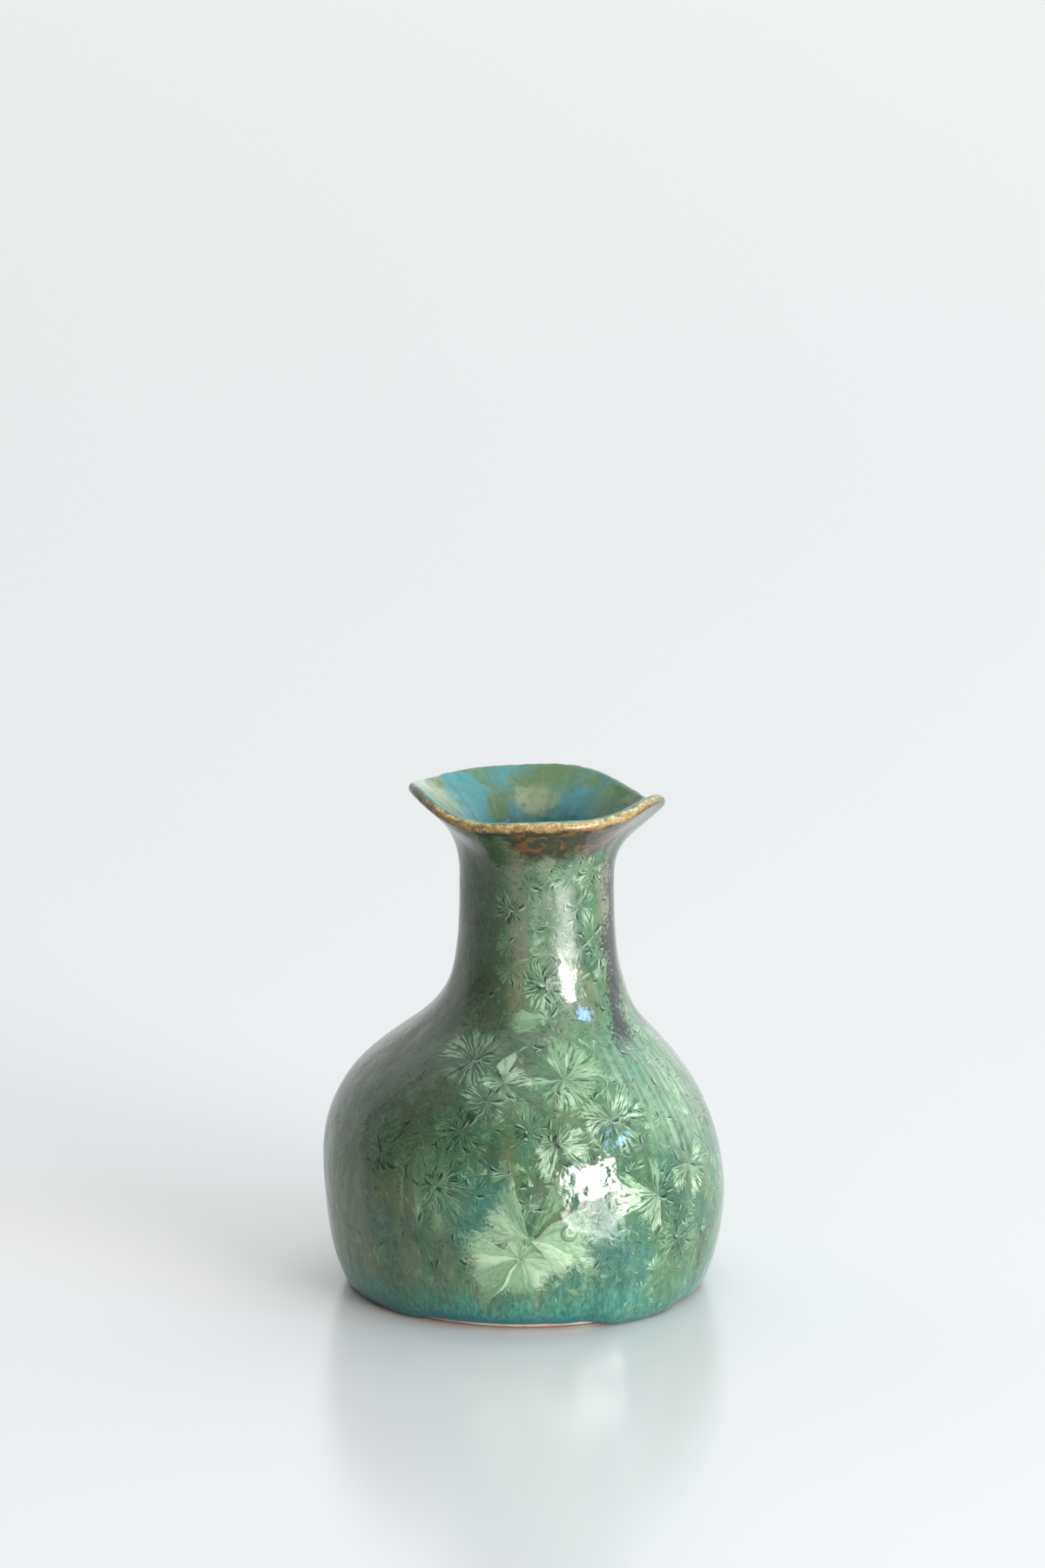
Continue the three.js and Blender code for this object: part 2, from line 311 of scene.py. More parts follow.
def handworkTree():
    tree = bpy.data.node_groups.new("handwork", "GeometryNodeTree")
    bench = Bench(tree)
    face = tree.interface
    face.new_socket("Geometry", in_out="OUTPUT", socket_type="NodeSocketGeometry")
    face.new_socket("Geometry", in_out="INPUT", socket_type="NodeSocketGeometry")
    for name in handwork:
        kind = "NodeSocketInt" if name == "Columns" else "NodeSocketFloat"
        face.new_socket(name, in_out="INPUT", socket_type=kind)
    for lobes in form["waves"]:
        face.new_socket(f"Wave {lobes} Rise", in_out="INPUT", socket_type="NodeSocketFloat")
        face.new_socket(f"Wave {lobes} Turn", in_out="INPUT", socket_type="NodeSocketFloat")
    face.new_socket("Material", in_out="INPUT", socket_type="NodeSocketMaterial")
    given = bench.add("NodeGroupInput")

    def named(name):
        return bench.add("GeometryNodeInputNamedAttribute", {"data_type": "FLOAT"}, {"Name": name})

    # The profile is drawn round a ring, and each point is then put where its own sizes say.
    ring = bench.add("GeometryNodeCurvePrimitiveCircle", None,
                     {"Resolution": given.beside("Columns"), "Radius": 1.0})
    share = bench.add("GeometryNodeSplineParameter")
    ring = bench.add("GeometryNodeStoreNamedAttribute", {"data_type": "FLOAT", "domain": "POINT"},
                     {"Geometry": ring, "Name": "around", "Value": share * math.tau})
    line = bench.add("GeometryNodeMeshToCurve", None, {"Mesh": given})
    shell = bench.add("GeometryNodeCurveToMesh", None, {"Curve": ring, "Profile Curve": line})
    radius, height, around = named("girth"), named("height"), named("around")
    pastLip, shown = named("pastLip"), named("shown")
    sine, cosine = around.maths("SINE"), around.maths("COSINE")
    flat = bench.pack(radius * sine, -(radius * cosine), height)
    shell = bench.add("GeometryNodeSetPosition", None, {"Geometry": shell, "Position": flat})
    shell = bench.add("GeometryNodeMergeByDistance", None, {"Geometry": shell, "Distance": 1e-4})

    # Lean and waving lip.
    blend = given.beside("Lean Blend")
    drift = bench.rise(height, driftHeight - blend, driftHeight + blend)
    lean = bench.rise(height, leanHeight - blend, leanHeight + blend)
    aside = given.beside("Belly Drift") * drift + given.beside("Neck Lean") * lean
    lift = 0.0
    for lobes in form["waves"]:
        turn = given.beside(f"Wave {lobes} Turn") * (math.pi / 180)
        swing = ((around - math.pi / 2) * lobes - turn).maths("COSINE")
        lift = lift + given.beside(f"Wave {lobes} Rise") * swing
    waving = bench.rise(height, lipHeight - given.beside("Wave Reach"), lipHeight)

    # Lumps left by the fingers, ripples of the coat, and the run at the foot.
    seed = bench.pack(given.beside("Seed") * 13, given.beside("Seed") * 7, given.beside("Seed"))
    shifted = flat.vector("ADD", seed)
    lump = bench.noise(shifted, given.beside("Lump Size"), 1.5) - 0.5

    def besideTurn(name):    # 0 at that turn to 1 at its span
        turn = around * (180 / math.pi) - given.beside(f"{name} Turn")
        turn = (turn + 540).maths("MODULO", 360) - 180
        return (turn / given.beside(f"{name} Span")).maths("ABSOLUTE")

    run = (1 - bench.rise(besideTurn("Run"), 0.4, 1.0)) * bench.rise(height, -2.0, 1.5) * (
        1 - bench.rise(height, 3.0, 8.5))
    ridge = (1 - bench.rise(besideTurn("Ridge"), 0.0, 1.0)) * bench.rise(height, 4, 14) * (
        1 - bench.rise(height, 26, 37))
    sideways = (around * (180 / math.pi) - given.beside("Blister Turn")) * (math.pi / 180) * radius
    blister = bench.pack(sideways, height - given.beside("Blister Rise"), 0.0).vector("LENGTH")
    blister = blister / given.beside("Blister Reach")
    dome = 1 - bench.rise((blister - 0.55).maths("ABSOLUTE"), 0.1, 0.45)
    ripple = bench.noise(shifted, given.beside("Ripple Size"), 2.0) - 0.5
    outward = shown * (lump * 2 * given.beside("Lump Height") + run * given.beside("Run Height")
                       + ridge * given.beside("Ridge Height") + dome * given.beside("Blister Height")
                       + ripple * 2 * given.beside("Ripple Height"))

    # The coat's lower edge wanders, and hangs lower at the run and away from the front.
    hem = bench.noise(bench.pack(sine * 6, cosine * 6, 2.0), 1.0, 2.0) - 0.4
    hem = hem * given.beside("Edge Wave") * 2
    front = bench.rise((around + math.radians(4)).maths("COSINE"), 0.8, 0.93)
    hem = (hem * 0.6 - run * 0.4 - (1 - front) * 0.6 + front * 0.15) * shown * (
        1 - bench.rise(height, 1.5, 5.0)) * bench.rise(height, 0.2, 0.7)
    lowered = (height + hem).maths("MAXIMUM", height.maths("MINIMUM", 0.15))
    bent = bench.pack((radius + outward) * sine + aside, -((radius + outward) * cosine),
                      lowered + waving * lift)
    shell = bench.add("GeometryNodeSetPosition", None, {"Geometry": shell, "Position": bent})

    # The lip is ragged.
    nearLip = 1 - bench.rise(pastLip.maths("ABSOLUTE"), 0.4, given.beside("Ragged Reach"))
    ragged = bench.noise(shifted, given.beside("Ragged Size"), 3.0).beside("Color")
    ragged = ragged.vector("SUBTRACT", (0.5, 0.5, 0.5)).vector(
        "SCALE", nearLip * shown * 2 * given.beside("Ragged Height"))
    shell = bench.add("GeometryNodeSetPosition", None, {"Geometry": shell, "Offset": ragged})
    scaled = bench.add("GeometryNodeInputPosition").vector("SCALE", given.beside("Millimetre"))
    shell = bench.add("GeometryNodeSetPosition", None, {"Geometry": shell, "Position": scaled})
    shell = bench.add("GeometryNodeRealizeInstances", None, {"Geometry": shell})
    shell = bench.add("GeometryNodeSetMaterial", None,
                      {"Geometry": shell, "Material": given.beside("Material")})
    bench.add("NodeGroupOutput", None, {0: shell})
    return tree


handworkGroup = handworkTree()
print("handwork tree ready")


def turnedPiece(name, rows, material, closed=True):    # a profile turned and formed into a plain mesh
    line = bpy.data.meshes.new(name)
    links = [(i, i + 1) for i in range(len(rows) - 1)]
    if closed:
        links.append((len(rows) - 1, 0))
    line.from_pydata([(row[0], row[1], 0) for row in rows], links, [])
    for i, label in enumerate(("girth", "height", "pastLip", "shown")):
        values = line.attributes.new(label, "FLOAT", "POINT")
        values.data.foreach_set("value", [float(row[i]) for row in rows])
    piece = bpy.data.objects.new(name, line)
    bpy.context.scene.collection.objects.link(piece)
    forming = piece.modifiers.new("handwork", "NODES")
    forming.node_group = handworkGroup
    given = dict(handwork, Material=material)
    for lobes, (rise, turn) in form["waves"].items():
        given[f"Wave {lobes} Rise"] = float(rise)
        given[f"Wave {lobes} Turn"] = float(turn)
    for item in handworkGroup.interface.items_tree:
        if item.in_out == "INPUT" and item.name in given:
            forming[item.identifier] = given[item.name]
    seen = piece.evaluated_get(bpy.context.evaluated_depsgraph_get())
    mesh = bpy.data.meshes.new_from_object(seen)
    piece.modifiers.clear()
    piece.data = mesh
    bpy.data.meshes.remove(line)
    mesh.name = name
    for label in ("girth", "height", "around", "shown"):
        if label in mesh.attributes:
            mesh.attributes.remove(mesh.attributes[label])
    if signedVolume(mesh) < 0:
        mesh.flip_normals()
    mesh.shade_smooth()
    mesh.set_sharp_from_angle(angle=math.radians(60))
    print(name, len(mesh.polygons), "faces")
    return piece


def signedVolume(mesh):
    mesh.calc_loop_triangles()
    points = np.zeros(len(mesh.vertices) * 3)
    mesh.vertices.foreach_get("co", points)
    corners = np.zeros(len(mesh.loop_triangles) * 3, dtype=np.int64)
    mesh.loop_triangles.foreach_get("vertices", corners)
    a, b, c = points.reshape(-1, 3)[corners.reshape(-1, 3)].transpose(1, 0, 2)
    return float((a * np.cross(b, c)).sum() / 6)


# Glaze colours, as a screen shows them.
glazeTints = {
    "green": "#507250", "deep": "#264b39", "olive": "#5a5f38", "rose": "#716a5b", "grey": "#545c48",
    "teal": "#22685e", "mint": "#7f9e7a", "ice": "#b4caa9", "fern": "#618a5f", "shadow": "#2f3d28",
    "dark": "#0f1816", "plum": "#25202a",
    "gold": "#a68a4a", "ochre": "#dccfa6", "rust": "#71421d", "umber": "#271d18", "bronze": "#30372a",
    "turquoise": "#3c8381", "lagoon": "#235f66", "moss": "#56703f", "cream": "#8f9a78", "aqua": "#4b9280",
    "stone": "#868f7d",
}

# Crystals placed one by one: turn in degrees round from the viewer's side, height and reach in
# millimetres, how pale it is, and how much of its disc the needles fill. A fan also faces a way,
# in degrees up from the right, and opens so many degrees to each side of it.
blooms = [
    {"turn": -1.6, "height": 16.9, "reach": 13.6, "pale": 0.85, "fill": 1.0, "facing": 196, "open": 44},
    {"turn": -1.6, "height": 16.9, "reach": 9.8, "pale": 0.88, "fill": 1.0, "facing": -112, "open": 58},
    {"turn": -1.4, "height": 16.9, "reach": 10.5, "pale": 0.9, "fill": 0.95, "facing": -32, "open": 36},
    {"turn": -1.6, "height": 16.9, "reach": 5.0, "pale": 0.8, "fill": 1.0, "facing": 78, "open": 88},
    {"turn": 1.6, "height": 20.8, "reach": 15.8, "pale": 0.95, "fill": 0.95, "facing": -12, "open": 44},
    {"turn": 1.0, "height": 21.2, "reach": 14.0, "pale": 0.75, "fill": 0.82, "facing": 148, "open": 44},
    {"turn": 1.2, "height": 21.2, "reach": 11.8, "pale": 0.6, "fill": 0.62, "facing": 74, "open": 32},
    {"turn": 16.3, "height": 50.8, "reach": 10.5, "pale": 0.9, "fill": 0.58},
    {"turn": 31.5, "height": 42.9, "reach": 10.0, "pale": 0.85, "fill": 0.42},
    {"turn": 11.5, "height": 40.0, "reach": 8.0, "pale": 0.85, "fill": 0.45},
    {"turn": 41.8, "height": 26.9, "reach": 10.5, "pale": 0.95, "fill": 0.5},
    {"turn": 57, "height": 31, "reach": 9.0, "pale": 0.85, "fill": 0.45},
    {"turn": 49, "height": 17, "reach": 7.5, "pale": 0.5, "fill": 0.4},
    {"turn": 3.4, "height": 42.1, "reach": 7.5, "pale": 0.45, "fill": 0.3},
    {"turn": -7.3, "height": 50.4, "reach": 8.0, "pale": 0.75, "fill": 0.5},
    {"turn": -24.3, "height": 53.7, "reach": 9.0, "pale": 0.5, "fill": 0.36},
    {"turn": 6.3, "height": 61.2, "reach": 7.0, "pale": 0.85, "fill": 0.9, "facing": 180, "open": 26},
    {"turn": -11.4, "height": 47.6, "reach": 7.5, "pale": 0.45, "fill": 0.25},
    {"turn": -18.7, "height": 42.0, "reach": 8.0, "pale": 0.3, "fill": 0.2},
    {"turn": -43.9, "height": 36.0, "reach": 9.0, "pale": 0.22, "fill": 0.15},
    {"turn": -24.5, "height": 30.8, "reach": 9.0, "pale": 0.3, "fill": 0.35},
    {"turn": 7.3, "height": 68.3, "reach": 8.0, "pale": 0.8, "fill": 0.35},
    {"turn": 14.6, "height": 79.4, "reach": 6.0, "pale": 0.5, "fill": 0.2},
    {"turn": 32.3, "height": 74.6, "reach": 6.5, "pale": 0.7, "fill": 0.25},
    {"turn": 32.4, "height": 84.1, "reach": 6.0, "pale": 0.6, "fill": 0.3},
    {"turn": 25.0, "height": 90.7, "reach": 6.5, "pale": 0.6, "fill": 0.45, "facing": 180, "open": 80},
    {"turn": -19.0, "height": 83.4, "reach": 5.5, "pale": 0.35, "fill": 0.1},
    {"turn": 49.5, "height": 73.3, "reach": 5.5, "pale": 0.7, "fill": 0.25},
    {"turn": 43.0, "height": 91.5, "reach": 6.0, "pale": 0.75, "fill": 0.35},
    {"turn": -4.2, "height": 88.7, "reach": 5.5, "pale": 0.3, "fill": 0.15},
    {"turn": 84, "height": 38, "reach": 12.0, "pale": 0.6, "fill": 0.3},
    {"turn": 108, "height": 17, "reach": 13.0, "pale": 0.7, "fill": 0.8},
    {"turn": 131, "height": 47, "reach": 9.0, "pale": 0.6, "fill": 0.35},
    {"turn": 164, "height": 24, "reach": 11.5, "pale": 0.6, "fill": 0.4},
    {"turn": -158, "height": 45, "reach": 10.0, "pale": 0.55, "fill": 0.3},
    {"turn": -126, "height": 21, "reach": 12.0, "pale": 0.5, "fill": 0.7},
    {"turn": -92, "height": 42, "reach": 9.0, "pale": 0.35, "fill": 0.25},
    {"turn": 150, "height": 76, "reach": 7.0, "pale": 0.6, "fill": 0.3},
    {"turn": -120, "height": 69, "reach": 7.0, "pale": 0.45, "fill": 0.25},
]


# Soft spots of colour in the lining: place and reach in millimetres, tint, and strength.
liningSpots = [
    ((-12.0, 13.0, 101.0), 8.0, "turquoise", 1.0), ((-19.0, 2.0, 103.0), 10.0, "cream", 0.9),
    ((-6.0, 15.5, 98.0), 4.5, "moss", 0.9), ((2.5, 17.5, 100.0), 5.0, "cream", 1.0),
    ((10.5, 15.0, 98.0), 6.0, "turquoise", 1.0), ((20.0, 12.0, 102.0), 9.0, "moss", 0.9),
    ((5.0, 24.0, 104.0), 8.0, "moss", 0.7),
    ((24.0, 3.0, 104.0), 12.0, "stone", 0.9), ((-3.0, 13.0, 93.0), 4.0, "moss", 0.8),
]


def nearestBloom(bench, spot):    # the placed crystal that reaches each point first
    nearest, centre, traits = 9.0, (0.0, 0.0, 0.0), (1.0, 0.0, 0.0)
    for number, bloom in enumerate(blooms):
        place = onOutside(bloom["turn"], bloom["height"])
        away = spot.vector("DISTANCE", tuple(place)) / bloom["reach"]
        if "facing" in bloom:
            side, facing = math.radians(bloom["turn"]), math.radians(bloom["facing"])
            ahead = Vector((math.cos(side), math.sin(side), 0)) * math.cos(facing)
            ahead.z = math.sin(facing)
            arm = spot.vector("SUBTRACT", tuple(place)).vector("NORMALIZE")
            behind = arm.vector("DOT_PRODUCT", tuple(ahead)) < math.cos(math.radians(bloom["open"]))
            away = away + behind * 4
        closer = bench.maths("LESS_THAN", away, nearest)
        centre = bench.pick(closer, centre, tuple(place))
        traits = bench.pick(closer, traits, (bloom["reach"], bloom["pale"], number + bloom["fill"] * 0.9))
        nearest = bench.maths("MINIMUM", away, nearest)
    reach, pale, code = bench.parts(traits)
    number = code.maths("FLOOR")
    return centre, reach, pale, (code - number) / 0.9, number


def needles(bench, spot, normal, centre, reach, fill, number):    # one crystal's fans round its centre
    arm = spot.vector("SUBTRACT", centre)
    arm = arm.vector("SUBTRACT", normal.vector("SCALE", arm.vector("DOT_PRODUCT", normal)))
    way = arm.vector("NORMALIZE")
    own = bench.pack(number * 3.71, number * 1.93, number * 2.37)

    def turning(count, shift, detail=0.0, drift=0.0):    # a noise that changes mostly with the direction
        place = way.vector("SCALE", count).vector("ADD", own).vector("ADD", (shift, 0.0, shift * 2))
        return bench.noise(place.vector("ADD", arm.vector("SCALE", drift)), 1.0, detail)

    fans = bench.cells(way.vector("SCALE", 1.5).vector("ADD", own), 1.0)
    length, luck, tone = bench.parts(fans.beside("Color"))
    blade, hair = turning(11.0, 11.0, 2.0, 0.05), turning(34.0, 23.0, 1.0, 0.12)
    stipple = bench.noise(spot, 0.5, 2.0)
    far = arm.vector("LENGTH") / reach
    tip = far / (0.5 + 0.5 * length + 0.25 * fill)
    ragged = tip + (blade - 0.5) * (1.0 - 0.75 * fill) + (stipple - 0.5) * (0.2 + 0.35 * fill)
    inside = 1 - bench.rise(ragged, 0.8 - 0.15 * fill, 1.0)
    grown = bench.rise(luck + fill * 0.8, 0.72, 0.8)
    bar = 0.57 - fill * fill * 0.54
    body = bench.rise(blade, bar - 0.01, bar + 0.04) * inside * grown * (
        0.3 + 0.6 * fill + 0.7 * bench.rise(far, 0.1, 0.7)).maths("MINIMUM", 1.0)
    gap = bench.rise(0.46 - blade, 0.0, 0.06) * inside * (1 - fill) * grown
    crease = bench.rise(fans.beside("Distance"), 0.36, 0.6) * fill * inside
    slit = far + (length - 0.5) * 0.35
    eye = (bench.rise(turning(8.0, 37.0), 0.555, 0.595) * bench.rise(slit, 0.12, 0.18)
           * (1 - bench.rise(slit, 0.3, 0.42)) * (1 - fill * 0.9))
    shade = (hair - 0.5) * (1.5 - 0.7 * fill) + (tone - 0.5) * (0.75 - 0.1 * fill)
    return {"body": body, "shade": shade, "inside": inside, "gap": gap, "crease": crease, "eye": eye,
            "hair": hair, "way": way, "far": far}


def slits(bench, spot, normal, along, spacing, reach, wide, rarity):    # short tapered marks, each with a painted highlight along one side
    cells = bench.cells(spot, spacing)
    arm = spot.vector("SUBTRACT", cells.beside("Position"))
    sway = cells.beside("Color").vector("SUBTRACT", (0.5, 0.5, 0.5))
    way = along.vector("ADD", sway.vector("SCALE", 1.3))
    way = way.vector("SUBTRACT", normal.vector("SCALE", way.vector("DOT_PRODUCT", normal)))
    way = way.vector("NORMALIZE")
    side = way.vector("CROSS_PRODUCT", normal)
    luck, curl, size = bench.parts(cells.beside("Color"))
    ahead = arm.vector("DOT_PRODUCT", way) / (size * reach + reach * 0.4)
    taper = ahead * ahead
    aside = arm.vector("DOT_PRODUCT", side) / (size * wide + wide * 0.4) + taper * (curl - 0.5)
    kept = luck > rarity
    slit = (1 - bench.rise(aside.maths("ABSOLUTE") + taper, 0.5, 1.0)) * kept
    # edge: a painted highlight beside the slit, as if its raised rim caught the light
    edge = (1 - bench.rise((aside - 1.3).maths("ABSOLUTE") * 1.6 + taper, 0.5, 1.0)) * kept
    return slit, edge


def newMaterial(name):
    material = bpy.data.materials.new(name)
    material.use_nodes = True
    return material, Bench(material.node_tree)


# Lengths in millimetres, turns in degrees. Slits: spacing, length, width, how rare, and how far
# out from a crystal's middle they go. Ripples: size, detail and height. The neck's own colours
# come in between two heights, and the dark run swings round as it climbs.
kiln = {
    "smallSpacing": 5.0, "smallReach": 3.5, "smallFill": 0.5,
    "largeSlits": (2.4, 1.5, 0.3, 0.42, 0.75), "smallSlits": (3.0, 1.2, 0.26, 0.72, 1.5),
    "pinholeSpacing": 2.6,
    "neckFrom": (54, 66),
    "poolRise": 12.0, "thickRise": 4.6, "runTurn": 57, "runSwing": 16,
    "ripples": ((5.5, 0.0, 0.3), (3.0, 1.0, 0.18), (1.2, 1.0, 0.05)),
    "roughness": 0.09, "refraction": 1.52,
}


def kilnGlaze():
    material, bench = newMaterial("kilnGlaze")
    c = {name: tint(code) for name, code in glazeTints.items()}
    spot = bench.add("ShaderNodeTexCoord").beside("Object").vector("SCALE", 1 / millimetre)
    normal = bench.add("ShaderNodeNewGeometry").beside("Normal")
    pastLip = bench.add("ShaderNodeAttribute", {"attribute_name": "pastLip"}).beside("Fac")
    x, y, z = bench.parts(spot)
    level = bench.pack(x, y, 0.0).vector("NORMALIZE")

    def toward(turn):    # 1 on the side at that turn, -1 on the side across from it
        angle = math.radians(turn)
        return level.vector("DOT_PRODUCT", (math.sin(angle), -math.cos(angle), 0.0))

    def patch(turn, height, reach, edge=0.45):    # a soft uneven spot on the outside
        away = soft.vector("DISTANCE", tuple(onOutside(turn, height))) / reach
        return 1 - bench.rise(away, edge, 1.0)

    warp = bench.noise(spot, 8.0, 3.0).beside("Color").vector("SUBTRACT", (0.5, 0.5, 0.5))
    soft = spot.vector("ADD", warp.vector("SCALE", 7.0))
    runny = soft.vector("MULTIPLY", (1.0, 1.0, 0.22))
    streak = bench.noise(spot.vector("MULTIPLY", (1.0, 1.0, 0.07)), 1.3, 2.0)
    falling = level.vector("SCALE", 20.0).vector("ADD", soft.vector("MULTIPLY", (0.06, 0.06, 0.05)))
    falling = bench.noise(falling, 1.0, 3.0)
    fibre = bench.noise(spot.vector("MULTIPLY", (1.0, 1.0, 0.05)), 0.7, 2.0)
    onNeck = bench.rise(z, *kiln["neckFrom"])
    # painted reflection: greys the left flank and fades its crystals, standing in for the grey room mirrored
    # at the grazing left side; the same mask also makes the glaze a little rougher there
    paintedLeftReflection = bench.rise(toward(-80), 0.1, 0.95)
    rightBelly = bench.rise(toward(55), 0.6, 0.95) * (1 - onNeck)

    turn = bench.maths("ARCTAN2", x, -y) * (180 / math.pi)
    uneven = bench.noise(soft, 9.0, 1.0) - 0.5

    # Ground under the crystals: green with olive, rose and teal runs, with painted shade on the left and
    # painted reflections on both sides.
    ground = bench.blend(bench.rise(bench.noise(runny, 7.0, 3.0), 0.4, 0.64), c["green"], c["deep"])
    oliveShare = bench.rise(bench.noise(runny.vector("ADD", (40.0, 7.0, 3.0)), 8.0, 3.0), 0.45, 0.68)
    ground = bench.blend(oliveShare * (0.75 + 0.2 * onNeck) * (1 - 0.7 * rightBelly), ground, c["olive"])
    roseShare = bench.rise(bench.noise(runny.vector("ADD", (7.0, 90.0, 3.0)), 5.0, 3.0), 0.44, 0.62)
    ground = bench.blend(roseShare * (0.5 + 0.45 * onNeck) * (1 - 0.8 * rightBelly), ground, c["rose"])
    tealShare = bench.rise(bench.noise(soft.vector("ADD", (17.0, 9.0, 53.0)), 10.0, 2.0), 0.52, 0.7)
    ground = bench.blend(tealShare * 0.5 * (1 - 0.7 * onNeck), ground, c["teal"])
    ground = bench.blend(patch(-14.4, 27.4, 11.0) * 0.8, ground, c["teal"])
    ground = bench.blend(patch(-41.1, 32.1, 11.0) * 0.7, ground, c["olive"])
    paleStreak = patch(-27, 30, 10.5) * bench.rise(falling, 0.4, 0.6)
    ground = bench.blend(paleStreak * 0.95, ground, c["mint"])
    shadow = bench.rise(toward(-50), 0.5, 0.95) * bench.rise(z, 26, 44)
    ground = bench.blend(shadow * 0.9, ground, c["shadow"])
    ground = bench.blend(paintedLeftReflection * 0.25, ground, c["grey"])
    ground = bench.blend(patch(27, 14, 14.0) * 0.55, ground, c["teal"])
    # painted reflection: a faint aqua tint and a pale streaky veil on the right shoulder stand in for a broad
    # sheen of light there
    ground = bench.blend(patch(52, 50, 20.0) * 0.18, ground, c["aqua"])
    paintedSheen = patch(62, 46, 22.0, 0.3) * bench.rise(falling, 0.3, 0.75)
    ground = bench.blend(paintedSheen * 0.55, ground, c["ice"])
    ground = bench.blend(bench.rise(fibre, 0.45, 0.7) * (1 - bench.rise(z, 10, 28)) * 0.22, ground, c["mint"])
    pinkBand = 1 - bench.rise((turn + 6 + uneven * 16).maths("ABSOLUTE"), 3.0, 11.0)
    # painted reflection: the pale stone band up the neck's right stands in for a weak broad reflection
    paintedNeckReflection = 1 - bench.rise((turn - 21 + uneven * 40).maths("ABSOLUTE"), 9.0, 32.0)
    ground = bench.blend(onNeck * pinkBand * 0.65, ground, c["rose"])
    ground = bench.blend(onNeck * paintedNeckReflection * 0.52, ground, c["stone"])
    ground = bench.blend(bench.rise(streak, 0.35, 0.7) * 0.25, ground, c["deep"])

    # Small crystals everywhere, then the placed ones, their needles bent a little by the glaze's flow.
    flow = bench.noise(spot, 5.0, 1.0).beside("Color").vector("SUBTRACT", (0.5, 0.5, 0.5))
    bent = spot.vector("ADD", flow.vector("SCALE", 1.8))
    middles = bench.cells(bent, kiln["smallSpacing"]).beside("Position")
    luckReach, luckFill, luckNumber = bench.parts(middles.beside("Color"))
    smallReach = kiln["smallReach"] + luckReach * kiln["smallReach"]
    small = needles(bench, bent, normal, middles, smallReach, luckFill * kiln["smallFill"], luckNumber * 60)
    faint = bench.rise(bench.noise(soft, 12.0, 1.0), 0.4, 0.6) * 0.5 + 0.4
    faint = faint * (1 - 0.6 * paintedLeftReflection) * (1 - 0.25 * onNeck) * (1 - 0.2 * shadow)
    downy = small["inside"] * bench.rise(small["hair"], 0.5, 0.68) * (1 - 0.3 * shadow)
    skin = bench.blend(downy * 0.4, ground, c["fern"])
    smallTone = bench.blend(bench.rise(small["shade"], -0.25, 0.5) * (1 - 0.75 * shadow), c["fern"], c["ice"])
    skin = bench.blend(small["body"] * faint, skin, smallTone)
    skin = bench.blend(small["gap"] * 0.5, skin, c["deep"])
    skin = bench.blend(small["eye"] * 0.6, skin, c["dark"])
    centre, reach, pale, fill, number = nearestBloom(bench, bent)
    large = needles(bench, bent, normal, centre, reach, fill, number)
    midTone = bench.blend(bench.rise(large["shade"] + fill * 0.25, -0.42, 0.02), c["fern"], c["mint"])
    paleTone = bench.blend(bench.rise(large["shade"] + fill * 0.14, -0.12, 0.5), midTone, c["ice"])
    skin = bench.blend(large["inside"] * 0.3, skin, c["deep"])
    skin = bench.blend(large["inside"] * bench.rise(large["hair"], 0.48, 0.66) * 0.5, skin, c["fern"])
    skin = bench.blend(large["body"] * pale, skin, paleTone)
    skin = bench.blend(large["gap"] * 0.4 + large["crease"] * 0.3, skin, c["deep"])
    skin = bench.blend(large["eye"] * 0.85, skin, c["dark"])

    # Pinholes.
    pinholes = bench.cells(spot, kiln["pinholeSpacing"])
    lucky, _, _ = bench.parts(pinholes.beside("Color"))
    pin = (1 - bench.rise(pinholes.beside("Distance"), 0.04, 0.09)) * (lucky > 0.7)
    skin = bench.blend(pin * 0.4, skin, c["dark"])

    # Dark slits round the middles of crystals, each with a painted highlight along one edge.
    for crystal, sizes in ((large, kiln["largeSlits"]), (small, kiln["smallSlits"])):
        *slitSizes, spread = sizes
        slit, edge = slits(bench, bent, normal, crystal["way"], *slitSizes)
        where = bench.rise(z, 9, 14) * (1 - bench.rise(crystal["far"], spread * 0.6, spread))
        where = where * (1 - 0.8 * large["body"] * fill)
        # painted highlight along each slit, left out on the left flank
        skin = bench.blend(edge * where * 0.4 * (1 - paintedLeftReflection), skin, c["ice"])
        skin = bench.blend(slit * where * 0.8, skin, c["dark"])

    # The burst bubble: a greyer centre, and painted shade in a dark ring round its rim.
    blister = onOutside(handwork["Blister Turn"], handwork["Blister Rise"])
    bubble = spot.vector("DISTANCE", tuple(blister)) / handwork["Blister Reach"]
    skin = bench.blend((1 - bench.rise(bubble, 0.6, 0.95)) * 0.35, skin, c["grey"])
    bubbleShadeRing = 1 - bench.rise((bubble - 0.95).maths("ABSOLUTE"), 0.06, 0.2)
    skin = bench.blend(bubbleShadeRing * 0.6, skin, c["deep"])

    # Teal pool at the foot, thickest and darkest at the very edge.
    rightFoot = bench.rise(toward(58), 0.66, 0.96)
    pool = 1 - bench.rise(z + uneven * 16, 1.5, kiln["poolRise"])
    poolTone = bench.blend(bench.rise(fibre, 0.3, 0.75), c["teal"], c["aqua"])
    skin = bench.blend(pool * (0.92 - 0.55 * large["inside"] * fill) * (1 - 0.6 * rightFoot), skin, poolTone)
    thick = 1 - bench.rise(z + uneven * 6, 1.2, kiln["thickRise"])
    skin = bench.blend(thick * (0.85 - 0.7 * rightFoot), skin, c["lagoon"])

